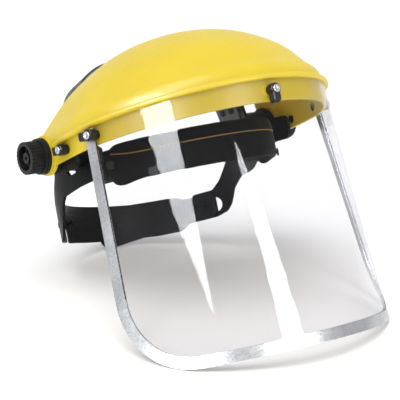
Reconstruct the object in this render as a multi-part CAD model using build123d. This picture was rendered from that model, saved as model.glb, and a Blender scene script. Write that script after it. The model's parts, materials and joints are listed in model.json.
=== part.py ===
from build123d import *
import math
import os

# Face shield: a yellow crown with a clear visor, hinged on a black head harness.
#
# It is modelled as it is worn: +X is the wearer's left, -Y is forwards, +Z is up, and the
# origin is midway between the two pivots. Sizes are in millimetres and angles in degrees.
# At the end the whole assembly is tipped back by rest_pitch, so that it rests on the lower
# corners of the visor and on the nape strap, and it is put on the floor z = 0.

rest_pitch = 23.7            # how far the worn position is tipped back when it is put down

# ---------------------------------------------------------------- driving dimensions
# Crown
skirt_radius = 111.5         # outside of the skirt, round the front
skirt_centre_y = -38.5       # centre of that front arc
skirt_half_angle = 88.0      # the arc ends here, each side of straight ahead
skirt_wall = 2.5
skirt_bottom_z = -10.7       # lower edge beside the pivots
skirt_bottom_slope = 0.092   # it rises towards the front
ear_radius = 16.0
ear_boss_radius = 14.6
lip_z = 1.1                  # underside of the lip beside the pivots
lip_slope = 6.87             # degrees that the lip rises towards the front
lip_reach = 5.2              # how far it stands out from the skirt
lip_thickness = 4.0
lip_back_y = 4.0             # it fades into the side here
dome_radius = 113.0
dome_height = 66.5
dome_wall = 2.2
dome_power_out = 2.35        # the dome's profile: height = (1 - out**2.35)**(1/1.35)
dome_power_up = 1.35
dome_back_y = 18.7           # the open back edge starts here and leans forwards
dome_back_lean = 46.0

# Visor, a flat 303 x 197 mm sheet bent round the skirt and flared a little downwards
visor_half_width = 151.5
visor_thickness = 1.0
visor_top_radius = 112.4     # middle of the sheet, at visor_top_z
visor_top_centre_y = -38.5
visor_top_z = 20.0
visor_bottom_radius = 140.0
visor_bottom_centre_y = -18.2
visor_bottom_z = -177.0
visor_corner_radius = 57.0
visor_corner_inset = 3.8     # the sheet's sides flare, so the corner arc stops short of them
trim_width = 8.0
trim_skin = 0.6
trim_edge = 0.8

# Turn latches and their rivets
latch_hub_radius = 4.4
latch_neck_radius = 3.7
latch_arm_reach = 10.5
latch_arm_width = 6.6
latch_under = 2.4            # underside of the arm above the skirt
latch_top = 8.4
edge_latch_lift = 2.4        # the edge latches reach over the metal trim as well
rivet_shank_radius = 1.95
rivet_head_radius = 3.0
slot_width = 8.8
slot_length = 17.0
eyelet_radius = 1.0
eyelet_z = -9.0
rear_latch_y = -34.5
rear_latch_z = -0.5
edge_latch_angle = 72.6      # round the front arc from straight ahead
edge_latch_z = 3.4
front_latch_z = 11.0

# Pivots, measured outwards along X from the middle
plate_inner_x = 103.0        # harness side plate
plate_outer_x = 106.0
ear_inner_x = 109.7
ear_outer_x = 114.5
knob_inner_x = 117.4
knob_outer_x = 130.8
bolt_radius = 4.0
bolt_end_x = 127.5
bolt_head_radius = 7.2
neck_width = 8.0             # its square neck
running_gap = 0.08
knob_radius = 12.8
knob_flange_radius = 14.0
knob_rib_count = 28
knob_cup_radius = 9.6
knob_cup_depth = 6.0

# Head harness
band_width_half = 74.0       # front headband, inside face: half of an ellipse
band_length_half = 98.0
band_centre_y = -3.0
band_wall = 1.6
band_low_z = -30.0
band_high_z = -5.0
band_back_y = -8.0           # its ends, inside the side frames
sweat_inner = 3.2            # padded sweatband, folded over the headband
sweat_outer = 2.0
sweat_gap = 0.25
sweat_low_z = -33.0
sweat_high_z = -1.5
sweat_back_y = -26.0
frame_wall = 2.6             # side frames
nape_width_half = 87.0       # nape strap, inside face: half of an ellipse
nape_length_half = 98.0
nape_centre_y = 4.0
nape_wall = 1.6
nape_gap = 0.15              # between the two halves where they overlap
nape_front_y = 55.0          # its ends, inside the side frames
nape_hook_y = 66.0
nape_hook_z = (-52.5, -57.5) # right, left
nape_hook_reach = 7.6        # from the side frame's inside face to the hook's inner head
nape_button_x = 4.0
nape_button_z = -61.0
nape_hole_pitch = 8.0
nape_slot_length = 12.0
over_base_y = 6.0            # overhead strap: its plane leans back by over_lean
over_lean = 12.0
over_half_span = 77.6
over_rise = 69.0
over_power = 3.1
over_wall = 1.5
over_width = 28.0
over_slot_pitch = 14.0
over_peg_z = 17.0
over_peg_shift = 6.0         # each peg, in front of or behind the strap's middle
peg_radius = 1.5


# ---------------------------------------------------------------- helpers
def closed(edges):
    """The flat face inside a loop of edges."""
    return Face(Wire(edges))


def offset_points(curve, distance, count, start=0.0, end=1.0):
    """Points beside a plan curve, to the right of its direction of travel."""
    points = []
    for i in range(count):
        u = start + (end - start) * i / (count - 1)
        along = curve % u
        points.append(curve @ u + Vector(along.Y, -along.X, 0) * distance)
    return points


def wall_face(curve, inner, outer, count=9, start=0.0, end=1.0):
    """The plan of a thin wall that follows a curve, between two offsets."""
    near = offset_points(curve, inner, count, start, end)
    far = offset_points(curve, outer, count, start, end)
    return closed([
        Edge.make_spline(near),
        Edge.make_line(near[-1], far[-1]),
        Edge.make_spline(far),
        Edge.make_line(far[0], near[0]),
    ])


def upright(plan, low_z, high_z):
    """A plan face carried straight up between two heights."""
    return extrude(Pos(0, 0, low_z) * plan, high_z - low_z, dir=(0, 0, 1))


def side_prism(outline, half_width=150.0):
    """A side-view outline in Y and Z, carried right across the object."""
    return extrude(Plane.YZ * outline, half_width, both=True)


def rounded_polygon(points, radius):
    """A flat polygon with its corners rounded."""
    face = make_face(Polyline(*points, close=True))
    return fillet(face.vertices(), radius)


def both_sides(name, make):
    """Makes a right and a left piece from one function of the side, -1 or +1."""
    return {name + "_right": make(-1), name + "_left": make(1)}


# ---------------------------------------------------------------- crown geometry
def side_line(offset):
    """Where the front arc meets the straight side at +X, and the side's lean in x per y."""
    angle = math.radians(skirt_half_angle)
    radius = skirt_radius + offset
    corner_x = radius * math.sin(angle)
    corner_y = skirt_centre_y - radius * math.cos(angle)
    return corner_x, corner_y, 1 / math.tan(angle)


def side_x(offset, y):
    """Distance of the straight side from the middle, at y."""
    corner_x, corner_y, lean = side_line(offset)
    return corner_x + (y - corner_y) * lean


def plan_path(offset, back_y, back_x=None):
    """Edges round the front, from the right rear to the left rear."""
    corner_x, corner_y, _ = side_line(offset)
    end_x = side_x(offset, back_y) if back_x is None else back_x
    front = (0, skirt_centre_y - skirt_radius - offset)
    return [
        Edge.make_line((-end_x, back_y), (-corner_x, corner_y)),
        Edge.make_three_point_arc((-corner_x, corner_y), front, (corner_x, corner_y)),
        Edge.make_line((corner_x, corner_y), (end_x, back_y)),
    ]


def plan_ring(inner, outer, back_y, outer_back_x=None):
    """The plan between two offsets of the skirt's outside face."""
    inside = plan_path(inner, back_y)
    outside = plan_path(outer, back_y, outer_back_x)
    joins = [
        Edge.make_line(inside[0] @ 0, outside[0] @ 0),
        Edge.make_line(inside[-1] @ 1, outside[-1] @ 1),
    ]
    return closed(inside + outside + joins)


def lip_frame():
    """The lip's sloping underside."""
    return Pos(0, 0, lip_z) * Rot(-lip_slope, 0, 0)


def lip_height(y):
    """Height of the lip's underside at y."""
    return lip_z - y * math.tan(math.radians(lip_slope))


def dome_body(radius, height):
    """A solid dome: a half turn of the profile at the front, and straight behind it."""
    steps = (0, 0.25, 0.5, 0.7, 0.85, 0.95, 1)
    points = []
    for out in steps:
        up = (1 - out ** dome_power_out) ** (1 / dome_power_up)
        points.append((radius * out, 0, height * up))
    profile = Edge.make_spline(points, tangents=[(1, 0, 0), (0, 0, -1)])
    base = Edge.make_line((radius, 0, 0), (0, 0, 0))
    middle = Edge.make_line((0, 0, 0), (0, 0, height))
    half = Pos(0, skirt_centre_y, 0) * closed([profile, base, middle])
    axis = Axis((0, skirt_centre_y, 0), (0, 0, -1))
    front = revolve(half, axis, 180)
    behind = extrude(half, 80, dir=(0, 1, 0))
    return front + behind + mirror(behind, Plane.YZ)


def dome():
    """The hollow dome, cut off behind by its leaning back edge."""
    shell = dome_body(dome_radius, dome_height)
    shell -= dome_body(dome_radius - dome_wall, dome_height - dome_wall)
    behind = Pos(0, dome_back_y, 0) * Rot(dome_back_lean, 0, 0) * Pos(0, 100, 0)
    shell -= behind * Box(300, 200, 400)
    return lip_frame() * Pos(0, 0, lip_thickness - 0.4) * shell


def lip():
    """The lip round the brow, which the visor's top edge tucks under."""
    ring = plan_ring(-skirt_wall, lip_reach, lip_back_y, side_x(0.8, lip_back_y))
    rim = upright(ring, 0, lip_thickness)
    outer = rim.faces().filter_by(GeomType.CYLINDER).sort_by(SortBy.AREA)[-1]
    rim = fillet(outer.edges().filter_by(GeomType.CIRCLE), 1.4)
    return lip_frame() * rim


def skirt():
    """The upright band that carries the visor, with a round ear at each pivot."""
    band = upright(plan_ring(-skirt_wall, 0, ear_radius + 2), -40, 40)
    front_y = skirt_centre_y - skirt_radius - 10
    side_view = make_face(Polyline(
        (front_y, skirt_bottom_z - skirt_bottom_slope * front_y),
        (0, skirt_bottom_z),
        (ear_radius - 0.6, 0),
        (dome_back_y - 1, lip_height(dome_back_y) + lip_thickness),
        (front_y, lip_height(front_y) + lip_thickness),
        close=True,
    ))
    side_view += Circle(ear_radius)
    return band & side_prism(side_view)


def across(radius, inner_x, outer_x, side):
    """A round bar along X on one side, at the pivot."""
    length = outer_x - inner_x
    middle = side * (inner_x + outer_x) / 2
    return Pos(middle, 0, 0) * Rot(0, 90, 0) * Cylinder(radius, length)


def latch_places():
    """Each latch's frame on the skirt: X along the arm, Z straight out."""
    places = {}
    for side, word in ((-1, "right"), (1, "left")):
        lean = math.radians(90 - skirt_half_angle)
        side_normal = Vector(side * math.cos(lean), -math.sin(lean), 0)
        origin = (side * side_x(0, rear_latch_y), rear_latch_y, rear_latch_z)
        back = Vector(side * math.sin(lean), math.cos(lean), 0)
        places["latch_rear_" + word] = Plane(origin, back, side_normal)
        angle = math.radians(edge_latch_angle)
        normal = Vector(side * math.sin(angle), -math.cos(angle), 0)
        centre = Vector(0, skirt_centre_y, edge_latch_z)
        back = Vector(side * math.cos(angle), math.sin(angle), 0)
        places["latch_edge_" + word] = Plane(centre + normal * skirt_radius, back, normal)
    front = (0, skirt_centre_y - skirt_radius, front_latch_z)
    places["latch_front"] = Plane(front, (0, 0, -1), (0, -1, 0))
    return places


def crown():
    """The yellow moulding: dome, lip, skirt and ears."""
    body = skirt() + lip() + dome()
    for side in (-1, 1):
        body += across(ear_boss_radius, ear_inner_x, ear_outer_x, side)
        body -= across(bolt_radius + running_gap, ear_inner_x - 5, ear_outer_x + 5, side)
        body -= across(knob_flange_radius + 1.2, ear_outer_x, knob_outer_x, side)
    for place in latch_places().values():
        body -= place.location * Cylinder(rivet_shank_radius + 0.1, 12)
    return body


# ---------------------------------------------------------------- latches and rivets
def latch_lift(name):
    """How much longer the neck of this latch is."""
    return edge_latch_lift if "edge" in name else 0.0


def latch(name):
    """A turn latch: a neck through the visor's slot, and an arm that holds the sheet."""
    lift = latch_lift(name)
    neck = Pos(0, 0, 0.3) * extrude(Circle(latch_neck_radius), latch_under + lift)
    arm_end = Pos(latch_arm_reach / 2, 0) * RectangleRounded(
        latch_arm_reach, latch_arm_width, 2.6
    )
    arm = extrude(Circle(latch_hub_radius) + arm_end, latch_top - latch_under)
    arm = chamfer(arm.faces().sort_by(Axis.Z)[-1].edges(), 0.7)
    grip = Pos(latch_arm_reach, 0, latch_top - latch_under) * Rot(90, 0, 0)
    arm -= grip * Cylinder(2.2, 2 * latch_arm_width)
    body = neck + Pos(0, 0, latch_under + lift) * arm
    body -= Cylinder(rivet_shank_radius + running_gap, 40)
    return latch_places()[name].location * body


def rivet(name):
    """A rivet with a dished head outside the latch and a flat head inside the skirt."""
    top = latch_top + latch_lift(name)
    head = Pos(0, 0, top + 0.05) * extrude(Circle(rivet_head_radius), 1.0)
    head = fillet(head.edges().sort_by(Axis.Z)[-1], 0.5)
    head -= Pos(0, 0, top + 3.35) * Sphere(2.9)
    shank_low = -skirt_wall - 0.1
    shank = Pos(0, 0, shank_low) * extrude(Circle(rivet_shank_radius), top + 0.2 - shank_low)
    inside = Pos(0, 0, shank_low - 0.9) * extrude(Circle(rivet_head_radius + 0.3), 0.9)
    return latch_places()[name].location * (head + shank + inside)


# ---------------------------------------------------------------- visor and its trim
def visor_arc(z):
    """The radius of the sheet's bend at z, and where its centre is."""
    share = (visor_top_z - z) / (visor_top_z - visor_bottom_z)
    radius = visor_top_radius + share * (visor_bottom_radius - visor_top_radius)
    centre_y = visor_top_centre_y + share * (visor_bottom_centre_y - visor_top_centre_y)
    return radius, centre_y


def visor_section(z, outset, half_width):
    """A thin crescent across the visor at z, and its thickness is twice the outset."""
    radius, centre_y = visor_arc(z)
    half_angle = half_width / radius

    def at(angle, r):
        return (r * math.sin(angle), centre_y - r * math.cos(angle), z)

    def arc(r):
        ends = at(-half_angle, r), at(half_angle, r)
        return Edge.make_three_point_arc(ends[0], at(0, r), ends[1])

    inner, outer = arc(radius - outset), arc(radius + outset)
    return closed([
        inner,
        Edge.make_line(inner @ 1, outer @ 1),
        outer,
        Edge.make_line(outer @ 0, inner @ 0),
    ])


def visor_sweep(outset, half_width, low_z, high_z):
    """The bent sheet between two heights, with a thickness of twice the outset."""
    top = visor_section(high_z, outset, half_width)
    bottom = visor_section(low_z, outset, half_width)
    return loft([bottom, top], ruled=True)


def corner_cutter(side, inset):
    """What lies outside the visor's rounded lower corner, or outside a line inset from it."""
    middle = visor_half_width - visor_corner_radius / 2
    angle = middle / visor_bottom_radius
    normal = Vector(side * math.sin(angle), -math.cos(angle), 0)
    tangent = Vector(side * math.cos(angle), math.sin(angle), 0)
    centre = Vector(0, visor_bottom_centre_y, visor_bottom_z + visor_corner_radius)
    frame = Plane(centre + normal * visor_bottom_radius, tangent, normal)
    upright = 1 if frame.y_dir.Z > 0 else -1
    centre_x = visor_corner_inset - visor_corner_radius / 2 - 2.0
    radius = visor_corner_radius - inset
    half = radius * math.sqrt(0.5)
    far = visor_corner_radius + 20
    quarter = Edge.make_three_point_arc(
        (centre_x + radius, 0),
        (centre_x + half, -upright * half),
        (centre_x, -upright * radius),
    )
    corners = [
        (centre_x, -upright * radius),
        (centre_x, -upright * far),
        (centre_x + far, -upright * far),
        (centre_x + far, 0),
        (centre_x + radius, 0),
    ]
    sides = [Edge.make_line(a, b) for a, b in zip(corners, corners[1:])]
    return extrude(frame.location * closed([quarter] + sides), 60, both=True)


def latch_slots():
    """The openings that the latches pass through: a slot in front, a hole at each edge."""
    places = latch_places()
    front = places["latch_front"].location * Rot(0, 0, 90)
    cut = front * extrude(SlotOverall(slot_length, slot_width), 12, both=True)
    for word in ("right", "left"):
        cut += bore(places["latch_edge_" + word], slot_width / 2, 12)
    return cut


def under_lip(gap):
    """Everything above a plane that lies this far under the lip."""
    return lip_frame() * Pos(0, 0, 50 - gap) * Box(400, 500, 100)


def visor_blank(outset, grow):
    """The sheet's outline, grown all round, before the slots are cut."""
    half_width = visor_half_width + grow
    body = visor_sweep(outset, half_width, visor_bottom_z - grow, visor_top_z + 6)
    for side in (-1, 1):
        body -= corner_cutter(side, -grow)
    return body


def visor():
    """The clear sheet."""
    body = visor_blank(visor_thickness / 2, 0) - under_lip(0.4) - latch_slots()
    for place in eyelet_places():
        body -= bore(place, eyelet_radius + 0.1, 4)
    return body


def visor_trim():
    """The aluminium channel folded over the visor's sides and bottom."""
    body = visor_blank(visor_thickness / 2 + trim_skin, trim_edge)
    window_width = visor_half_width - trim_width
    window = visor_sweep(6, window_width, visor_bottom_z + trim_width, visor_top_z + 40)
    for side in (-1, 1):
        window -= corner_cutter(side, trim_width)
    body -= window
    body -= under_lip(1.0)
    body -= visor_blank(visor_thickness / 2, 0)
    for place in eyelet_places():
        body -= bore(place, eyelet_radius + 0.1, 4)
    return body - latch_slots()


def sheet_point(along, z):
    """A point in the middle of the sheet's thickness, where a straight line of it crosses z."""
    ends = []
    for level in (visor_bottom_z, visor_top_z + 6):
        radius, centre_y = visor_arc(level)
        angle = along / radius
        ends.append(Vector(radius * math.sin(angle), centre_y - radius * math.cos(angle), level))
    share = (z - ends[0].Z) / (ends[1].Z - ends[0].Z)
    return ends[0] + (ends[1] - ends[0]) * share


def eyelet_places():
    """A frame on each upper end of the trim: Z straight out of the sheet."""
    places = []
    for side in (-1, 1):
        along = side * (visor_half_width - trim_width / 2)
        here = sheet_point(along, eyelet_z)
        tangent = sheet_point(along + 1, eyelet_z) - here
        rising = sheet_point(along, eyelet_z + 1) - here
        places.append(Plane(here, tangent, tangent.cross(rising)))
    return places


def trim_eyelets():
    """A small eyelet through each upper end of the trim."""
    head_z = visor_thickness / 2 + trim_skin + 0.05
    head = Pos(0, 0, head_z) * extrude(Circle(1.7), 0.4)
    back = Pos(0, 0, -head_z - 0.4) * extrude(Circle(1.7), 0.4)
    body = head + Cylinder(eyelet_radius, 2 * head_z) + back
    return [place.location * body for place in eyelet_places()]


# ---------------------------------------------------------------- pivots
def washer(side, radius, inner_x, outer_x):
    """A plain washer on the pivot bolt."""
    ring = across(radius, inner_x, outer_x, side)
    return ring - across(bolt_radius + running_gap, inner_x - 1, outer_x + 1, side)


def ear_washer(side):
    """The wide washer between an ear and its knob."""
    return washer(side, knob_flange_radius + 0.4, ear_outer_x + 0.05, knob_inner_x - 0.1)


def friction_washer(side):
    """The washer between the harness plate and an ear, which holds the crown up."""
    return washer(side, 11.0, plate_outer_x + 0.05, ear_inner_x - 0.1)


def pivot_bolt(side):
    """A round-headed bolt with a square neck that keeps it from turning in the frame."""
    head_x = plate_inner_x - 3.0
    body = across(bolt_head_radius, head_x, plate_inner_x, side)
    tip = body.edges().filter_by(GeomType.CIRCLE).sort_by(Axis.X)
    body = fillet(tip[0] if side > 0 else tip[-1], 1.8)
    body += across(bolt_radius, plate_inner_x, bolt_end_x, side)
    neck_x = side * (plate_inner_x + plate_outer_x - 0.2) / 2
    body += Pos(neck_x, 0, 0) * Box(plate_outer_x - plate_inner_x - 0.2, neck_width, neck_width)
    return body


def knob(side):
    """The ribbed clamp knob, with a cup in its outer face and a hub in the cup."""
    rim_x = knob_outer_x
    body = across(knob_radius, knob_inner_x, rim_x, side)
    body += across(knob_flange_radius, knob_inner_x, knob_inner_x + 2.2, side)
    groove = across(0.75, knob_inner_x + 3.0, rim_x + 1, side)
    for i in range(knob_rib_count):
        turn = Rot(360 * i / knob_rib_count, 0, 0)
        body -= turn * Pos(0, 0, knob_radius + 0.15) * groove
    cup = across(knob_cup_radius, rim_x - knob_cup_depth, rim_x + 1, side)
    cup -= across(4.4, rim_x - knob_cup_depth, rim_x - 1.2, side)
    web_x = side * (rim_x - knob_cup_depth + 1.6)
    for turn in (0, 90):
        cup -= Pos(web_x, 0, 0) * Rot(turn, 0, 0) * Box(3.2, 1.2, 2 * knob_cup_radius)
    body -= cup
    body -= across(bolt_radius + running_gap, knob_inner_x - 1, bolt_end_x + 0.4, side)
    body -= across(1.6, bolt_end_x, rim_x + 1, side)
    return body


# ---------------------------------------------------------------- head harness
def ellipse_arc(width_half, length_half, centre_y, start, end):
    """Part of a head-shaped ellipse, anticlockwise between two angles from +X."""
    arc = Edge.make_ellipse(width_half, length_half, start_angle=start, end_angle=end)
    return Pos(0, centre_y, 0) * arc


def band_curve(back_y):
    """The front headband's inside face, from the right temple round to the left."""
    angle = math.degrees(math.asin((back_y - band_centre_y) / band_length_half))
    start, end = 180 - angle, 360 + angle
    return ellipse_arc(band_width_half, band_length_half, band_centre_y, start, end)


def nape_curve():
    """The nape strap's inside face, from the left end round the back to the right end."""
    angle = math.degrees(math.asin((nape_front_y - nape_centre_y) / nape_length_half))
    return ellipse_arc(nape_width_half, nape_length_half, nape_centre_y, angle, 180 - angle)


def frame_curve(side):
    """A side frame's inside face in plan, from the temple back to the nape."""
    points = [
        (74.9, -24), (75.4, -17), (78.5, -8), (81.0, 0), (83.5, 13), (85.0, 30),
        (83.5, 43.4), (79.0, 54.8), (73.3, 64.1), (66.2, 73.5),
    ]
    return Spline(*[(side * x, y) for x, y in points])


def share_where(curve, reached):
    """The first share of a curve's length where a test of the point becomes true."""
    low, high = 0.0, 1.0
    for _ in range(40):
        middle = (low + high) / 2
        if reached(curve @ middle):
            high = middle
        else:
            low = middle
    return high


def outward_frame(curve, share, offset, z):
    """A frame on a wall: its Z points out of the head loop and its X points up."""
    along = curve % share
    outward = Vector(along.Y, -along.X, 0)
    point = curve @ share
    if outward.dot(Vector(point.X, point.Y, 0)) < 0:
        outward = outward * -1
    return Plane(Vector(point.X, point.Y, z) + outward * offset, (0, 0, 1), outward)


def peg(place, shank_radius, inner_z, outer_z, inner_head, outer_head, head_height=1.0):
    """A peg through layers, with a round head at each end."""
    body = Pos(0, 0, inner_z) * extrude(Circle(shank_radius), outer_z - inner_z)
    body += Pos(0, 0, inner_z - head_height) * extrude(Circle(inner_head), head_height)
    cap = extrude(Circle(outer_head), head_height)
    cap = fillet(cap.edges().sort_by(Axis.Z)[-1], 0.4)
    body += Pos(0, 0, outer_z) * cap
    return place.location * body


def bore(place, radius, reach=8):
    """A round hole through whatever wall the frame stands on."""
    return place.location * Cylinder(radius, 2 * reach)


def temple_places():
    """Two pegs at each temple, through the headband and the side frame."""
    places = []
    for side in (-1, 1):
        curve = frame_curve(side)
        share = share_where(curve, lambda point: point.Y > -17)
        for z in (-12.0, -23.0):
            places.append(outward_frame(curve, share, 0, z))
    return places


def temple_pegs():
    """The pegs that hold the headband to the side frames."""
    return [peg(place, peg_radius, -2.6, frame_wall + 0.3, 2.6, 2.6) for place in temple_places()]


def stud_places():
    """Where the sweatband's ends button on to the headband."""
    places = []
    curve = band_curve(band_back_y)
    for side in (-1, 1):
        for y, z in ((-31.0, -17.0), (-66.0, -29.0)):
            if side < 0:
                share = share_where(curve, lambda point: point.Y < y or point.X > 0)
            else:
                share = share_where(curve, lambda point: point.Y > y and point.X > 0)
            places.append(outward_frame(curve, share, band_wall, z))
    return places


def sweatband_studs():
    """A stud with a flat oblong head at each place."""
    studs = []
    for place in stud_places():
        head = RectangleRounded(6.0, 8.5, 2.0)
        top = sweat_gap + sweat_outer + 0.1
        body = Pos(0, 0, top) * extrude(head, 1.0)
        body += Pos(0, 0, 0.05) * extrude(Circle(1.4), top)
        studs.append(place.location * body)
    return studs


def front_headband():
    """The strip across the forehead, pegged to the side frames at the temples."""
    body = upright(wall_face(band_curve(band_back_y), 0, band_wall, 13), band_low_z, band_high_z)
    for place in temple_places():
        body -= bore(place, peg_radius + 0.1)
    return body


def sweatband():
    """The padded sweatband, folded over the headband's lower and upper edges."""
    curve = band_curve(sweat_back_y)
    inner = -sweat_gap - sweat_inner
    outer = band_wall + sweat_gap + sweat_outer
    body = upright(wall_face(curve, inner, outer, 13), sweat_low_z, sweat_high_z)
    longer = band_curve(sweat_back_y + 6)
    room = wall_face(longer, -sweat_gap, band_wall + sweat_gap, 13)
    body -= upright(room, band_low_z - sweat_gap, band_high_z + sweat_gap)
    for place in stud_places():
        body -= place.location * Pos(0, 0, 5) * Cylinder(1.6, 10)
    return body


def nape_hook_places():
    """One hook on each side frame, through a slot in the nape strap's end."""
    places = []
    for side, z in zip((-1, 1), nape_hook_z):
        curve = frame_curve(side)
        share = share_where(curve, lambda point: point.Y > nape_hook_y)
        places.append(outward_frame(curve, share, 0, z))
    return places


def nape_hooks():
    """Pegs fixed in the side frames, whose wide heads hold the nape strap's ends."""
    return [
        peg(place, peg_radius, -nape_hook_reach, frame_wall + 0.1, 3.4, 2.6)
        for place in nape_hook_places()
    ]


def nape_hole_place(x):
    """A frame on the nape strap's inside face, where the button can sit."""
    curve = nape_curve()
    share = share_where(curve, lambda point: point.X < x)
    return outward_frame(curve, share, 0, nape_button_z)


def nape_button():
    """The size button through both halves of the nape strap."""
    thickness = 2 * nape_wall + nape_gap
    return peg(nape_hole_place(nape_button_x), 1.8, -0.1, thickness + 0.1, 3.2, 3.2)


def nape_half(side):
    """One half of the nape strap. The right half is wider and lies inside the left one."""
    curve = nape_curve()
    if side < 0:
        start = share_where(curve, lambda point: point.X < 61)
        plan = wall_face(curve, 0, nape_wall, 17, start, 1.0)
        outline = rounded_polygon([
            (-100, -36), (-63, -36.5), (17, -44), (60, -45), (60, -75.8), (38, -76),
            (-50, -69.5), (-100, -68),
        ], 8)
        end = (-68.0, -36.2)
    else:
        stop = share_where(curve, lambda point: point.X < -19)
        low = nape_wall + nape_gap
        plan = wall_face(curve, low, low + nape_wall, 17, 0.0, stop)
        outline = rounded_polygon([
            (100, -45.2), (70, -47), (-18, -57), (-18, -80.5), (70, -69.5), (100, -69),
        ], 11)
        end = (-69.4, -46.4)
    body = upright(plan, -90, -30)
    body &= extrude(Plane.XZ * outline, 200, both=True)
    corner = 11
    height = end[1] - end[0] + 4
    rounded = Pos(nape_front_y + 80, (end[0] + end[1]) / 2) * RectangleRounded(160, height, corner)
    behind = Pos(nape_front_y + 110, -60) * Rectangle(180, 80)
    body &= side_prism(rounded + behind)
    slot = Pos(nape_hook_y - 0.5, nape_hook_z[0 if side < 0 else 1]) * SlotOverall(nape_slot_length, 4.2)
    body -= Pos(side * 75, 0, 0) * side_prism(slot, 30)
    if side > 0:
        for step in (1, 2):
            body -= bore(nape_hole_place(nape_button_x - nape_hole_pitch * step), 1.9)
    return body - bore(nape_hole_place(nape_button_x), 1.9)


def over_plane():
    """The leaning plane that the overhead strap's middle line lies in."""
    lean = math.radians(over_lean)
    return Plane((0, over_base_y, 0), (1, 0, 0), (0, -math.cos(lean), math.sin(lean)))


def over_curve():
    """The overhead strap's arch in its own plane, from the left foot to the right foot."""
    points = []
    for i in range(13):
        turn = math.pi * i / 12
        out = abs(math.cos(turn)) ** (2 / over_power)
        up = math.sin(turn) ** (2 / over_power) if 0 < i < 12 else 0.0
        points.append((math.copysign(over_half_span * out, math.cos(turn)), over_rise * up))
    return Spline(*points, tangents=[(0, 1), (0, -1)])


def over_half(side):
    """One half of the overhead strap. The right half lies over the left one at the top."""
    curve = over_curve()
    top = over_wall + 0.1
    if side < 0:
        start = share_where(curve, lambda point: point.X < 24)
        plan = wall_face(curve, 0, over_wall, 15, start, 0.985)
    else:
        end = share_where(curve, lambda point: point.X < -24)
        plan = wall_face(curve, -top, -0.1, 15, 0.015, end)
    body = extrude(over_plane().location * plan, over_width / 2, both=True)
    for place in over_button_places():
        body -= bore(place, peg_radius + 0.1, 5)
    for place in over_peg_places():
        body -= bore(place, peg_radius + 0.2, 14)
    if side < 0:
        for place in over_slot_places():
            body -= place.location * Box(5.6, 2.6, 8)
    return body


def over_frame(share, offset, across_strap=0.0):
    """A frame on the overhead strap: Z out of the arch, X along the strap."""
    curve = over_curve()
    along = curve % share
    outward = Vector(along.Y, -along.X, 0)
    local = Plane(curve @ share + outward * offset, along, outward)
    return Plane(over_plane().location * local.location * Pos(0, across_strap, 0))


def over_button_places():
    """Two buttons near the top, through both halves."""
    curve = over_curve()
    return [
        over_frame(share_where(curve, lambda point: point.X < x), 0) for x in (10, -14)
    ]


def over_slot_places():
    """The row of size slots down the right half."""
    curve = over_curve()
    start = share_where(curve, lambda point: point.X < -14)
    step = over_slot_pitch / curve.length
    return [over_frame(start + step * i, 0) for i in range(1, 5)]


def over_buttons():
    """The two buttons that hold the halves together."""
    return [
        peg(place, peg_radius, -over_wall - 0.2, over_wall + 0.1, 2.8, 2.8)
        for place in over_button_places()
    ]


def over_peg_places():
    """Where the overhead strap's feet are pegged to the side frames."""
    places = []
    middle_y = over_base_y + over_peg_z * math.tan(math.radians(over_lean))
    for side in (-1, 1):
        curve = frame_curve(side)
        for shift in (-over_peg_shift, over_peg_shift):
            share = share_where(curve, lambda point: point.Y > middle_y + shift)
            point = curve @ share
            places.append(Plane((point.X, point.Y, over_peg_z), (0, 0, 1), (side, 0, 0)))
    return places


def over_pegs():
    """Long pegs that reach from the side frames to the strap's feet."""
    pegs = []
    for place in over_peg_places():
        inner_z = over_half_span - over_wall - 0.9 - abs(place.origin.X)
        pegs.append(peg(place, peg_radius, inner_z, frame_wall + 0.9, 2.6, 2.6))
    return pegs


def side_frame(side):
    """The moulded side of the harness: a pivot plate on a curved frame down to the nape."""
    curve = frame_curve(side)
    wall = (0.0, frame_wall) if side > 0 else (-frame_wall, 0.0)
    body = upright(wall_face(curve, *wall, 25), -90, 30)
    if side < 0:
        outline = rounded_polygon([
            (-30, -25), (-30, -6), (-16, 2), (-8, 21), (26, 21), (33, -6), (38.6, -16.5),
            (44, -23.5), (48.7, -30), (56.8, -37.3), (73, -41), (73, -68), (50, -67),
            (43, -62), (38, -52), (31.7, -36.7), (27.6, -32.3), (5.7, -27.8), (-16, -24.6),
        ], 2.5)
        moon_z = -56.0
    else:
        outline = rounded_polygon([
            (-30, -29), (-30, -6), (-16, 2), (-8, 21), (26, 21), (32, -10), (38.6, -24),
            (44, -31), (48.7, -37.4), (56.8, -44.8), (73, -46), (73, -70), (58, -69),
            (47.8, -65.6), (42, -60), (34.6, -47), (24, -39.7), (-3.6, -35.3), (-16, -31),
        ], 2.5)
        moon_z = -58.0
    outline -= rounded_polygon([(18.3, -12.5), (2.5, -15), (14.6, -17.6)], 0.8)
    body &= side_prism(outline)
    moon = Pos(57, moon_z) * Ellipse(7.0, 6.6)
    body -= side_prism(moon & (Pos(52, moon_z) * Rectangle(10, 20)))
    plate_face = Circle(15.6) + Pos(-17, -6) * RectangleRounded(34, 20, 6)
    thickness = plate_outer_x - plate_inner_x
    plate = extrude(Plane.YZ * plate_face, thickness / 2, both=True)
    body += Pos(side * (plate_inner_x + plate_outer_x) / 2, 0, 0) * plate
    spacer = across(13.2, 76, plate_inner_x, side)
    reach = (-30.0, 0.0) if side > 0 else (0.0, 30.0)
    body += spacer - upright(wall_face(curve, *reach, 25), -60, 60)
    body -= across(10.4, 70, plate_inner_x, side)
    body -= Pos(side * plate_inner_x, 0, 0) * Box(12, neck_width + 0.2, neck_width + 0.2)
    for place in temple_places() + nape_hook_places() + over_peg_places():
        body -= bore(place, peg_radius + 0.1)
    return body


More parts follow.
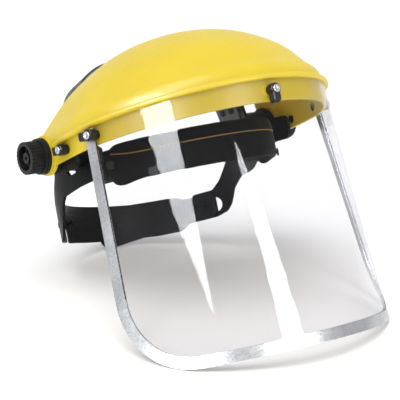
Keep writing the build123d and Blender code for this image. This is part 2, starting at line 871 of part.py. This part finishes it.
# ---------------------------------------------------------------- the assembly
def assembly():
    """Every piece, by name, in the worn position."""
    pieces = {
        "crown": crown(),
        "visor": visor(),
        "visor_trim": visor_trim(),
        "trim_eyelets": trim_eyelets(),
        "latch_rivets": [rivet(name) for name in latch_places()],
        "front_headband": front_headband(),
        "sweatband": sweatband(),
        "sweatband_studs": sweatband_studs(),
        "temple_pegs": temple_pegs(),
        "nape_hooks": nape_hooks(),
        "nape_button": nape_button(),
        "overhead_buttons": over_buttons(),
        "overhead_pegs": over_pegs(),
    }
    for name in latch_places():
        pieces[name] = latch(name)
    pieces.update(both_sides("pivot_bolt", pivot_bolt))
    pieces.update(both_sides("pivot_knob", knob))
    pieces.update(both_sides("ear_washer", ear_washer))
    pieces.update(both_sides("friction_washer", friction_washer))
    pieces.update(both_sides("side_frame", side_frame))
    pieces.update(both_sides("nape_strap", nape_half))
    pieces.update(both_sides("overhead_strap", over_half))
    return pieces


def main():
    pieces = {
        name: Compound(children=piece) if isinstance(piece, list) else piece
        for name, piece in assembly().items()
    }
    tip = Rot(-rest_pitch, 0, 0)
    box = Compound(children=[tip * piece for piece in pieces.values()]).bounding_box()
    put_down = Pos(0, -(box.min.Y + box.max.Y) / 2, -box.min.Z) * tip
    os.makedirs("parts", exist_ok=True)
    for name, piece in pieces.items():
        export_step(put_down * piece, "parts/" + name + ".step")
    print("put down by", put_down.position)


if __name__ == "__main__":
    main()
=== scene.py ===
import bpy
import bmesh
import json
import math
from mathutils import Matrix, Vector, noise as field
from mathutils.bvhtree import BVHTree


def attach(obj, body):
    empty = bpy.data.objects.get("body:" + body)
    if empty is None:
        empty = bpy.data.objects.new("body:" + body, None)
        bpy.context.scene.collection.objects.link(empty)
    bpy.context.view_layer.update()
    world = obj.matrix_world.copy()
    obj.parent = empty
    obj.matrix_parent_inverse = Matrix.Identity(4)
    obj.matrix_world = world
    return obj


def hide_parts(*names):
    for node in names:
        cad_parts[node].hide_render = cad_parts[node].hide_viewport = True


# Face shield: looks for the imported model. Places on the object are in millimetres as worn: +X is
# the wearer's left, -Y forwards, +Z up, with the origin midway between the pivots. WORN takes such
# a point to the frame, in metres. Materials, lights and thread thicknesses are in metres.

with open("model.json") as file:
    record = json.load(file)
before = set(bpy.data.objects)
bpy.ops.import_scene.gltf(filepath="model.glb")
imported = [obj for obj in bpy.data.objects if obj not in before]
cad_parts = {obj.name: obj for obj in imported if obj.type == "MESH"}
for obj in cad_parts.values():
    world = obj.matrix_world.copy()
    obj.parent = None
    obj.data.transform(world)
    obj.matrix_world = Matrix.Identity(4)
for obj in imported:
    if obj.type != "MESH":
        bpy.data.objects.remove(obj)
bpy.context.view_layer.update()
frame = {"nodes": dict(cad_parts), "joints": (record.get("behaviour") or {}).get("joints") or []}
nodes = frame["nodes"]
swing = next(j for j in frame["joints"] if j["name"] == "shield_swing")
PITCH = math.radians(-23.7)     # the object rests tipped back by this much, about the pivot axis
WORN = (
    Matrix.Translation(swing["pos_m"])
    @ Matrix.Rotation(PITCH, 4, "X")
    @ Matrix.Scale(0.001, 4)
)


# ---------------------------------------------------------------- camera
CAMERA_PLACE = Vector((-636.9, -954.1, -93.5))
CAMERA_RIGHT = Vector((0.8108, -0.5536, -0.1897))
CAMERA_UP = Vector((0.1371, -0.1354, 0.9812))
CAMERA_FORWARD = Vector((0.5690, 0.8217, 0.0339))
CAMERA_LENS = 125.2
CAMERA_SENSOR = 36.0


def make_camera():
    """The photograph's viewpoint."""
    data = bpy.data.cameras.new("camera")
    data.lens = CAMERA_LENS
    data.sensor_width = CAMERA_SENSOR
    data.clip_end = 60.0
    camera = bpy.data.objects.new("camera", data)
    turn = Matrix((CAMERA_RIGHT, CAMERA_UP, -CAMERA_FORWARD)).transposed()
    tilt = Matrix.Rotation(PITCH, 3, "X") @ turn
    camera.matrix_world = Matrix.Translation(WORN @ CAMERA_PLACE) @ tilt.to_4x4()
    bpy.context.scene.collection.objects.link(camera)
    bpy.context.scene.camera = camera


# ---------------------------------------------------------------- material helpers
def new_material(name):
    """A material with one Principled shader, its tree and the object's own coordinates."""
    mat = bpy.data.materials.new(name)
    mat.use_nodes = True
    tree = mat.node_tree
    shader = tree.nodes["Principled BSDF"]
    coords = tree.nodes.new("ShaderNodeTexCoord")
    return mat, tree, shader, coords.outputs["Object"]


def noise(tree, coords, scale, detail, stretch=None):
    """Noise over the coordinates, with scale in cells per metre."""
    if stretch is not None:
        mapping = tree.nodes.new("ShaderNodeMapping")
        mapping.inputs["Scale"].default_value = stretch
        tree.links.new(coords, mapping.inputs["Vector"])
        coords = mapping.outputs["Vector"]
    node = tree.nodes.new("ShaderNodeTexNoise")
    node.inputs["Scale"].default_value = scale
    node.inputs["Detail"].default_value = detail
    tree.links.new(coords, node.inputs["Vector"])
    return node.outputs["Fac"]


def ramp(tree, value, stops):
    """A colour ramp: stops are (position, colour) pairs."""
    node = tree.nodes.new("ShaderNodeValToRGB")
    elements = node.color_ramp.elements
    while len(elements) < len(stops):
        elements.new(0.5)
    for element, (position, colour) in zip(elements, stops):
        element.position = position
        element.color = (*colour, 1.0)
    tree.links.new(value, node.inputs["Fac"])
    return node.outputs["Color"]


def spread(tree, value, low, high, from_low=0.3, from_high=0.7):
    """A value from one range, by default most of a noise's, carried to the range low to high."""
    node = tree.nodes.new("ShaderNodeMapRange")
    node.inputs["From Min"].default_value = from_low
    node.inputs["From Max"].default_value = from_high
    node.inputs["To Min"].default_value = low
    node.inputs["To Max"].default_value = high
    tree.links.new(value, node.inputs["Value"])
    return node.outputs["Result"]


def bump(tree, value, distance, strength, under=None):
    """A bump from a height value, over another bump if one is given."""
    node = tree.nodes.new("ShaderNodeBump")
    node.inputs["Strength"].default_value = strength
    node.inputs["Distance"].default_value = distance
    tree.links.new(value, node.inputs["Height"])
    if under is not None:
        tree.links.new(under, node.inputs["Normal"])
    return node.outputs["Normal"]


def shade(colour, factor):
    """A colour made darker or lighter."""
    return tuple(min(1.0, c * factor) for c in colour)


def assign(mat, *names):
    """Gives CAD nodes their one material."""
    for name in names:
        obj = nodes[name]
        obj.data.materials.clear()
        obj.data.materials.append(mat)


# ---------------------------------------------------------------- materials
WAVE_PERIOD = 0.314             # a band texture of scale 1 repeats at this distance
HEAD_ON_MIRROR = 0.008          # the clear sheet's mirror share when seen head on
MIRROR_RISE = 6.5               # the power by which that share rises to 1 at a grazing angle


def plastic(name, colour, rough=0.4, grain=0.00003, grain_scale=1400, vary=0.12, coat=0.0, shine=0.5):
    """Moulded plastic: faint cloudiness, fine grain and slightly uneven gloss."""
    mat, tree, shader, coords = new_material(name)
    clouds = noise(tree, coords, scale=28, detail=4)
    fine = noise(tree, coords, scale=grain_scale, detail=2)
    marks = noise(tree, coords, scale=260, detail=5, stretch=(1.0, 1.0, 0.25))
    tint = ramp(tree, clouds, [
        (0.3, shade(colour, 1 - vary)), (0.5, colour), (0.72, shade(colour, 1 + vary)),
    ])
    tree.links.new(tint, shader.inputs["Base Color"])
    gloss = spread(tree, marks, low=rough - 0.07, high=rough + 0.09)
    tree.links.new(gloss, shader.inputs["Roughness"])
    tree.links.new(bump(tree, fine, grain, 0.6), shader.inputs["Normal"])
    shader.inputs["Coat Weight"].default_value = coat
    shader.inputs["Coat Roughness"].default_value = 0.25
    shader.inputs["Specular IOR Level"].default_value = shine
    return mat


def crown_plastic():
    """The crown's yellow: light spreads a little way inside it."""
    mat = plastic(
        "yellow_plastic", (0.62, 0.475, 0.018),
        grain=0.00002, grain_scale=900, vary=0.03, coat=0.15, shine=0.35,
    )
    shader = mat.node_tree.nodes["Principled BSDF"]
    shader.inputs["Subsurface Weight"].default_value = 0.35
    shader.inputs["Subsurface Radius"].default_value = (1.0, 0.72, 0.08)
    shader.inputs["Subsurface Scale"].default_value = 0.006
    return mat


def ribbed_plastic(name, colour, pitch, depth, rough=0.42):
    """Extruded strap plastic, with fine lines along its length, one for each pitch of height."""
    mat, tree, shader, coords = new_material(name)
    turn = tree.nodes.new("ShaderNodeVectorRotate")
    turn.rotation_type = "X_AXIS"
    turn.inputs["Angle"].default_value = -PITCH
    tree.links.new(coords, turn.inputs["Vector"])
    wave = tree.nodes.new("ShaderNodeTexWave")
    wave.wave_type = "BANDS"
    wave.bands_direction = "Z"
    wave.inputs["Scale"].default_value = WAVE_PERIOD / pitch
    wave.inputs["Distortion"].default_value = 0.4
    tree.links.new(turn.outputs["Vector"], wave.inputs["Vector"])
    clouds = noise(tree, coords, scale=40, detail=4)
    tint = ramp(tree, clouds, [(0.3, shade(colour, 0.8)), (0.72, shade(colour, 1.3))])
    tree.links.new(tint, shader.inputs["Base Color"])
    marks = noise(tree, turn.outputs["Vector"], scale=300, detail=4, stretch=(0.1, 0.1, 1.0))
    gloss = spread(tree, marks, low=rough - 0.08, high=rough + 0.1)
    tree.links.new(gloss, shader.inputs["Roughness"])
    lines = bump(tree, wave.outputs["Fac"], depth, 0.8)
    fine = noise(tree, coords, scale=1500, detail=2)
    tree.links.new(bump(tree, fine, 0.00002, 0.5, lines), shader.inputs["Normal"])
    shader.inputs["Specular IOR Level"].default_value = 0.14
    return mat


def metal(name, colour, rough, scratch=0.00002, dents=0.0, uneven=0.22):
    """Bright metal with fine scratches, uneven gloss and, if dents are given, shallow waves."""
    mat, tree, shader, coords = new_material(name)
    shader.inputs["Metallic"].default_value = 1.0
    clouds = noise(tree, coords, scale=45, detail=3)
    tint = ramp(tree, clouds, [(0.35, shade(colour, 0.84)), (0.65, shade(colour, 1.1))])
    tree.links.new(tint, shader.inputs["Base Color"])
    scratches = noise(tree, coords, scale=500, detail=2, stretch=(0.3, 1.0, 1.0))
    gloss = spread(tree, scratches, low=rough - 0.36 * uneven, high=rough + 0.64 * uneven)
    tree.links.new(gloss, shader.inputs["Roughness"])
    normal = bump(tree, scratches, scratch, 0.7)
    if dents:
        normal = bump(tree, noise(tree, coords, scale=120, detail=3), dents, 0.7, normal)
    tree.links.new(normal, shader.inputs["Normal"])
    return mat


def leatherette():
    """Black coated fabric: fine pebbled grain, with a soft sheen."""
    mat, tree, shader, coords = new_material("leatherette")
    cells = tree.nodes.new("ShaderNodeTexVoronoi")
    cells.feature = "DISTANCE_TO_EDGE"
    cells.inputs["Scale"].default_value = 950
    tree.links.new(coords, cells.inputs["Vector"])
    clouds = noise(tree, coords, scale=60, detail=4)
    tint = ramp(tree, clouds, [(0.3, (0.0018, 0.0018, 0.002)), (0.7, (0.005, 0.005, 0.0056))])
    tree.links.new(tint, shader.inputs["Base Color"])
    tree.links.new(spread(tree, clouds, low=0.55, high=0.72), shader.inputs["Roughness"])
    pebbles = bump(tree, cells.outputs["Distance"], 0.00012, 0.7)
    creases = bump(tree, noise(tree, coords, scale=160, detail=5), 0.0005, 0.5, pebbles)
    tree.links.new(creases, shader.inputs["Normal"])
    shader.inputs["Specular IOR Level"].default_value = 0.05
    shader.inputs["Sheen Weight"].default_value = 0.02
    shader.inputs["Sheen Roughness"].default_value = 0.5
    return mat


def clear_sheet():
    """Clear polycarbonate: slightly tinted, and more of a mirror towards grazing angles."""
    mat, tree, shader, coords = new_material("clear_sheet")
    shader.inputs["Metallic"].default_value = 1.0
    shader.inputs["Base Color"].default_value = (0.95, 0.97, 1.0, 1.0)
    haze = noise(tree, coords, scale=30, detail=3)
    tree.links.new(spread(tree, haze, low=0.015, high=0.035), shader.inputs["Roughness"])
    clear = tree.nodes.new("ShaderNodeBsdfTransparent")
    clear.inputs["Color"].default_value = (0.928, 0.924, 0.934, 1.0)
    weight = tree.nodes.new("ShaderNodeLayerWeight")
    weight.inputs["Blend"].default_value = 0.5
    steep = tree.nodes.new("ShaderNodeMath")
    steep.operation = "POWER"
    steep.inputs[1].default_value = MIRROR_RISE
    tree.links.new(weight.outputs["Facing"], steep.inputs[0])
    mirror = spread(tree, steep.outputs["Value"], HEAD_ON_MIRROR, 1.0, from_low=0.0, from_high=1.0)
    mix = tree.nodes.new("ShaderNodeMixShader")
    tree.links.new(mirror, mix.inputs["Fac"])
    tree.links.new(clear.outputs["BSDF"], mix.inputs[1])
    tree.links.new(shader.outputs["BSDF"], mix.inputs[2])
    tree.links.new(mix.outputs["Shader"], tree.nodes["Material Output"].inputs["Surface"])
    return mat


# ---------------------------------------------------------------- studio
STUDIO_CENTRE = (0.0, 0.0, 0.1)
PANEL_DISTANCE = 3.0
PANEL_STRENGTH = 38.0
FLOOR_REACH = 12.0
# Corners of the two lit panels, which the visor mirrors: (azimuth, elevation) in degrees, with
# azimuth from straight ahead of the wearer towards the left.
STRIP_ONE = [
    (-38, 21), (-45, 21.6), (-58, 21.4), (-81, 20.2), (-92, 20), (-92, 42), (-62, 33),
    (-51.5, 28.6), (-47.5, 26.9), (-42.7, 25), (-39, 22.4),
]
STRIP_TWO = [
    (-2.8, 32.6), (0.2, 29.2), (4.5, 25.2), (8, 21), (10, 17), (26, 16), (22.2, 20.3),
    (18.1, 23.7), (11, 28.3), (1, 31.6),
]


def emission(name, strength):
    """A plain white glowing material."""
    mat = bpy.data.materials.new(name)
    mat.use_nodes = True
    tree = mat.node_tree
    tree.nodes.remove(tree.nodes["Principled BSDF"])
    light = tree.nodes.new("ShaderNodeEmission")
    light.inputs["Strength"].default_value = strength
    tree.links.new(light.outputs["Emission"], tree.nodes["Material Output"].inputs["Surface"])
    return mat


def panel(name, corners):
    """A studio light panel that is seen only in mirror reflections."""
    points = []
    for azimuth, elevation in corners:
        a, e = math.radians(azimuth), math.radians(elevation)
        way = Vector((math.sin(a) * math.cos(e), -math.cos(a) * math.cos(e), math.sin(e)))
        points.append(Vector(STUDIO_CENTRE) + way * PANEL_DISTANCE)
    mesh = bpy.data.meshes.new(name)
    mesh.from_pydata(points, [], [tuple(range(len(points)))])
    mesh.materials.append(emission(name, PANEL_STRENGTH))
    obj = bpy.data.objects.new(name, mesh)
    obj.visible_camera = False
    obj.visible_shadow = False
    obj.visible_diffuse = False
    bpy.context.scene.collection.objects.link(obj)


def area(name, place, power, side=1.5):
    """A square soft light that points at the object and isn't mirrored in it."""
    data = bpy.data.lights.new(name, "AREA")
    data.shape = "RECTANGLE"
    data.size = side
    data.size_y = side
    data.energy = power
    obj = bpy.data.objects.new(name, data)
    obj.location = place
    aim = Vector(STUDIO_CENTRE) - Vector(place)
    obj.rotation_euler = aim.to_track_quat("-Z", "Y").to_euler()
    obj.visible_glossy = False
    bpy.context.scene.collection.objects.link(obj)


def sun(name, direction, spread_angle, strength):
    """A broad soft light from far away, so that the floor is lit evenly."""
    data = bpy.data.lights.new(name, "SUN")
    data.angle = math.radians(spread_angle)
    data.energy = strength
    obj = bpy.data.objects.new(name, data)
    obj.rotation_euler = Vector(direction).to_track_quat("Z", "Y").to_euler()
    bpy.context.scene.collection.objects.link(obj)


def make_world():
    """Even white light from all round."""
    world = bpy.data.worlds.new("studio")
    bpy.context.scene.world = world
    world.use_nodes = True
    background = world.node_tree.nodes["Background"]
    background.inputs["Color"].default_value = (1.0, 1.0, 1.0, 1.0)
    background.inputs["Strength"].default_value = 0.78


def make_floor():
    """The plain pale surface that the object rests on."""
    mesh = bpy.data.meshes.new("floor")
    far = FLOOR_REACH
    mesh.from_pydata([(-far, -far, 0), (far, -far, 0), (far, far, 0), (-far, far, 0)], [], [(0, 1, 2, 3)])
    floor = bpy.data.objects.new("floor", mesh)
    mat, tree, shader, coords = new_material("floor")
    tone = noise(tree, coords, scale=3, detail=2)
    tint = ramp(tree, tone, [(0.3, (0.88, 0.88, 0.88)), (0.7, (0.9, 0.9, 0.9))])
    tree.links.new(tint, shader.inputs["Base Color"])
    shader.inputs["Roughness"].default_value = 0.6
    mesh.materials.append(mat)
    bpy.context.scene.collection.objects.link(floor)


def make_studio():
    """World, lights, panels and floor."""
    make_world()
    sun("key", direction=(-0.45, -0.25, 1.0), spread_angle=38.0, strength=1.85)
    area("fill", place=(1.6, -1.6, 1.4), power=10)
    area("front", place=(-1.5, -1.9, 0.8), power=3)
    panel("strip_one", STRIP_ONE)
    panel("strip_two", STRIP_TWO)
    make_floor()
    bpy.context.scene.view_settings.view_transform = "Standard"


# ---------------------------------------------------------------- sweatband
BAND_HALF_WIDTH = 74.0          # the headband is half an ellipse round the forehead
BAND_HALF_LENGTH = 98.0
BAND_CENTRE_Y = -3.0

PAD_END_Y = -26.0               # both of the pad's ends are at this y
PAD_LENGTH = 235.0              # along the headband
PAD_TOP = -1.9
PAD_BOTTOM = -32.6
PAD_HALF_THICKNESS = 3.15
PAD_OUTWARD = 0.2               # its middle lies this far outside the headband's line
PAD_SECTIONS = 132
PAD_AROUND = 40
FLAT_SIDES = 0.62               # powers that take a section from an ellipse (1) towards a box (0)
FLAT_EDGES = 0.55

LOWER_CORNER = 13.0             # the lower corners' length along the band, and their height
LOWER_CORNER_RISE = 11.0
UPPER_CORNER = 14.0
UPPER_CORNER_DROP = 9.0
DROOP_LENGTH = 34.0             # towards each end the lower edge hangs down by this much
DROOP = 4.0

CAP_INSET = 0.03                # an end cap dips into the pad by this share of its length
CAP_THICKNESS = 0.45            # the cap's size against the end section, in thickness and height
CAP_HEIGHT = 0.8
CAP_SHIFT = -3.4                # keeps the smaller cap level with the end section's middle

SEAM_MIDDLE = -12.2             # height of the stitch line across the forehead
SEAM_RISE = 4.6                 # how much higher it is at the pad's ends
SEAM_RISE_LENGTH = 0.16         # over this share of the pad's length
SEAM_HALF_WIDTH = 1.3
SEAM_PULL = 0.18                # the share of the thickness that the stitches pull in

PUFF_LIMIT = 0.0016             # metres
PUFF_FRAMES = 20

CREASES_ALONG = 150             # per metre
CREASES_DOWN = 45
CREASE_DEPTH = 0.0003           # metres

STITCHES = 70
ROW_START = 0.02                # where the rows run, as shares of the pad's length
ROW_LENGTH = 0.96
STITCH_STEPS = (0.12, 0.5, 0.88)                    # a stitch's ends and middle, as shares of a pitch
STITCH_HEIGHTS = (-0.00012, 0.00016, -0.00012)      # metres off the cover
STITCH_RADII = (0.0002, 0.00036, 0.0002)            # metres
STITCH_SIDES = 6
RAY_START = 14.0                # rays that find the cover start this far from the headband


def band_point(share, out, z):
    """A worn point beside the headband: share runs from the right temple to the left."""
    start = math.asin((PAD_END_Y - BAND_CENTRE_Y) / BAND_HALF_LENGTH)
    turn = math.pi - start + share * (math.pi + 2 * start)
    c, s = math.cos(turn), math.sin(turn)
    normal = Vector((c / BAND_HALF_WIDTH, s / BAND_HALF_LENGTH, 0)).normalized()
    centre = Vector((BAND_HALF_WIDTH * c, BAND_CENTRE_Y + BAND_HALF_LENGTH * s, z))
    return centre + normal * out


def seam_height(share):
    """The stitch line's height: it runs nearer to the top edge at the temples."""
    from_end = min(share, 1 - share)
    return SEAM_MIDDLE + SEAM_RISE * max(0.0, 1 - from_end / SEAM_RISE_LENGTH) ** 2


def seam_pinch(share, z):
    """How far the stitch line pulls the pad in, from 0 to 1."""
    return math.exp(-(((z - seam_height(share)) / SEAM_HALF_WIDTH) ** 2))


def corner_cut(from_end, reach):
    """How much of a round corner's height is cut away at a distance from the end, from 0 to 1."""
    part = max(0.0, 1 - from_end / reach)
    return 1 - math.sqrt(max(0.0, 1 - part * part))


def pad_section(share):
    """Outline points (out, z) of the folded pad at a share of its length."""
    from_end = min(share, 1 - share) * PAD_LENGTH
    lift = LOWER_CORNER_RISE * corner_cut(from_end, LOWER_CORNER)
    drop = UPPER_CORNER_DROP * corner_cut(from_end, UPPER_CORNER)
    droop = DROOP * max(0.0, 1 - from_end / DROOP_LENGTH) ** 1.5
    low, high = PAD_BOTTOM + lift - droop, PAD_TOP - drop
    middle, half = (low + high) / 2, (high - low) / 2
    points = []
    for i in range(PAD_AROUND):
        turn = 2 * math.pi * i / PAD_AROUND
        c, s = math.cos(turn), math.sin(turn)
        out = math.copysign(abs(c) ** FLAT_SIDES, c)
        up = math.copysign(abs(s) ** FLAT_EDGES, s)
        points.append((PAD_OUTWARD + PAD_HALF_THICKNESS * out, middle + half * up))
    return points


def join_rings(bm, low, high):
    """A band of faces between two rings of points."""
    for i in range(len(low)):
        j = (i + 1) % len(low)
        bm.faces.new((low[i], low[j], high[j], high[i]))


def to_object(bm, name, material):
    """A finished form as a named object."""
    bmesh.ops.recalc_face_normals(bm, faces=bm.faces)
    mesh = bpy.data.meshes.new(name)
    bm.to_mesh(mesh)
    bm.free()
    mesh.materials.append(material)
    obj = bpy.data.objects.new(name, mesh)
    bpy.context.scene.collection.objects.link(obj)
    return obj


def smooth_faces(mesh):
    for face in mesh.polygons:
        face.use_smooth = True


def pad_form(bm):
    """The pad's closed form along the headband, and how firmly each point is pinned (0 to 1)."""
    rings = []
    pinned = []
    for i in range(PAD_SECTIONS + 1):
        share = i / PAD_SECTIONS
        ring = []
        for out, z in pad_section(share):
            pinch = seam_pinch(share, z)
            pulled = out * (1 - SEAM_PULL * pinch)
            ring.append(bm.verts.new(WORN @ band_point(share, pulled, z)))
            pinned.append(1.0 if i in (0, PAD_SECTIONS) else pinch)
        rings.append(ring)
    for low, high in zip(rings, rings[1:]):
        join_rings(bm, low, high)
    for ring, share, inset in ((rings[0], 0.0, CAP_INSET), (rings[-1], 1.0, -CAP_INSET)):
        cap = []
        for out, z in pad_section(share):
            cap_out = PAD_OUTWARD + (out - PAD_OUTWARD) * CAP_THICKNESS
            place = band_point(share + inset, cap_out, z * CAP_HEIGHT + CAP_SHIFT)
            cap.append(bm.verts.new(WORN @ place))
            pinned.append(1.0)
        join_rings(bm, ring, cap)
        bm.faces.new(cap)
    return pinned


def make_pad(material):
    """The padded sweatband, puffed up by simulation and held down along its stitches."""
    bm = bmesh.new()
    pinned = pad_form(bm)
    pad = to_object(bm, "sweatband_pad", material)
    group = pad.vertex_groups.new(name="pinned")
    for i, weight in enumerate(pinned):
        group.add([i], weight, "REPLACE")
    puff(pad, group.name)
    crease(pad)
    smooth = pad.modifiers.new("smooth", "SUBSURF")
    smooth.levels = smooth.render_levels = 1
    apply_modifiers(pad)
    smooth_faces(pad.data)
    return pad


def puff(obj, pin_group):
    """Swells a closed form with Cloth pressure, and no point moves further than PUFF_LIMIT."""
    before = [v.co.copy() for v in obj.data.vertices]
    cloth = obj.modifiers.new("cloth", "CLOTH")
    settings = cloth.settings
    settings.quality = 6
    settings.mass = 0.15
    settings.tension_stiffness = settings.compression_stiffness = 12
    settings.bending_stiffness = 0.4
    settings.use_pressure = True
    settings.uniform_pressure_force = 4.0
    settings.vertex_group_mass = pin_group
    settings.pin_stiffness = 1.0
    settings.effector_weights.gravity = 0.0
    cloth.collision_settings.use_collision = False
    cloth.point_cache.frame_start = 1
    cloth.point_cache.frame_end = PUFF_FRAMES
    for step in range(1, PUFF_FRAMES + 1):
        bpy.context.scene.frame_set(step)
    graph = bpy.context.evaluated_depsgraph_get()
    after = obj.evaluated_get(graph).to_mesh()
    moved = [v.co.copy() for v in after.vertices]
    obj.evaluated_get(graph).to_mesh_clear()
    obj.modifiers.clear()
    bpy.context.scene.frame_set(1)
    for vertex, old, new in zip(obj.data.vertices, before, moved):
        step = new - old
        if step.length > PUFF_LIMIT:
            step *= PUFF_LIMIT / step.length
        vertex.co = old + step


def crease(obj):
    """Shallow cross creases, as in coated fabric that is bent round a band."""
    for vertex in obj.data.vertices:
        x, y, z = vertex.co
        spot = Vector((x * CREASES_ALONG, y * CREASES_ALONG, z * CREASES_DOWN))
        vertex.co += vertex.normal * CREASE_DEPTH * field.noise(spot)


def apply_modifiers(obj):
    """Bakes an object's modifiers into its mesh."""
    bpy.context.view_layer.update()
    graph = bpy.context.evaluated_depsgraph_get()
    mesh = bpy.data.meshes.new_from_object(obj.evaluated_get(graph))
    obj.modifiers.clear()
    obj.data = mesh


def stitch_path(tree, number, side):
    """A stitch's points with the cover's normals, fewer than three where a ray misses the pad."""
    path = []
    for step, height in zip(STITCH_STEPS, STITCH_HEIGHTS):
        share = ROW_START + ROW_LENGTH * (number + step) / STITCHES
        z = seam_height(share)
        far = WORN @ band_point(share, side * RAY_START, z)
        near = WORN @ band_point(share, 0.0, z)
        hit, normal, _, _ = tree.ray_cast(far, (near - far).normalized())
        if hit is not None:
            path.append((hit + normal * height, normal))
    return path


def add_stitch(bm, path):
    """A short length of thread, thinner at both ends, where it goes into the cover."""
    along = (path[2][0] - path[0][0]).normalized()
    rings = []
    for (point, normal), radius in zip(path, STITCH_RADII):
        across = along.cross(normal).normalized()
        ring = []
        for k in range(STITCH_SIDES):
            turn = 2 * math.pi * k / STITCH_SIDES
            sideways = across * radius * math.cos(turn)
            upwards = normal * radius * math.sin(turn)
            ring.append(bm.verts.new(point + sideways + upwards))
        rings.append(ring)
    for low, high in zip(rings, rings[1:]):
        join_rings(bm, low, high)
    bm.faces.new(rings[0][::-1])
    bm.faces.new(rings[-1])


def make_stitches(pad, material, side, name):
    """A row of thread stitches on the pad's outer (+1) or inner (-1) face."""
    tree = BVHTree.FromPolygons(
        [v.co.copy() for v in pad.data.vertices], [tuple(p.vertices) for p in pad.data.polygons]
    )
    bm = bmesh.new()
    for number in range(STITCHES):
        path = stitch_path(tree, number, side)
        if len(path) == len(STITCH_STEPS):
            add_stitch(bm, path)
    obj = to_object(bm, name, material)
    smooth_faces(obj.data)
    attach(obj, "headgear")


# ---------------------------------------------------------------- build
make_camera()
make_studio()

yellow = crown_plastic()
black = plastic("harness_black", (0.004, 0.0045, 0.0055), rough=0.42, shine=0.12)
latch_black = plastic("latch_black", (0.006, 0.006, 0.007), rough=0.36, shine=0.3)
knob_black = plastic("knob_black", (0.006, 0.0065, 0.007), rough=0.45, shine=0.2)
grey = plastic("strap_grey", (0.035, 0.037, 0.040), rough=0.45)
nylon = plastic("washer_nylon", (0.62, 0.60, 0.54), rough=0.45)
stud = plastic("stud_grey", (0.012, 0.0125, 0.014), shine=0.3)
strap = ribbed_plastic("strap_black", (0.004, 0.0045, 0.0055), pitch=0.0012, depth=0.00012)
steel = metal("rivet_steel", (0.50, 0.50, 0.51), rough=0.16)
aluminium = metal(
    "edge_aluminium", (0.44, 0.45, 0.47), rough=0.27, scratch=0.000004, dents=0.00008, uneven=0.05
)
leather = leatherette()
clear = clear_sheet()

assign(yellow, "crown")
assign(clear, "visor")
assign(aluminium, "visor_trim", "trim_eyelets")
assign(steel, "latch_rivets", "pivot_bolt_right", "pivot_bolt_left")
assign(latch_black, *[n for n in nodes if n.startswith("latch_") and n != "latch_rivets"])
assign(knob_black, "pivot_knob_right", "pivot_knob_left", "ear_washer_right", "ear_washer_left")
assign(nylon, "friction_washer_right", "friction_washer_left")
assign(black, "side_frame_right", "side_frame_left", "front_headband", "temple_pegs", "nape_hooks")
assign(black, "overhead_buttons", "overhead_pegs", "nape_button")
assign(grey, "overhead_strap_right", "overhead_strap_left")
assign(strap, "nape_strap_right", "nape_strap_left")
assign(stud, "sweatband_studs")
assign(leather, "sweatband")

thread = plastic("ocher_thread", (0.62, 0.37, 0.06), rough=0.7, grain=0.00005, grain_scale=4000)
sweatband = make_pad(leather)
make_stitches(sweatband, thread, 1, "outer_stitches")
make_stitches(sweatband, thread, -1, "inner_stitches")
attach(sweatband, "headgear")
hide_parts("sweatband")
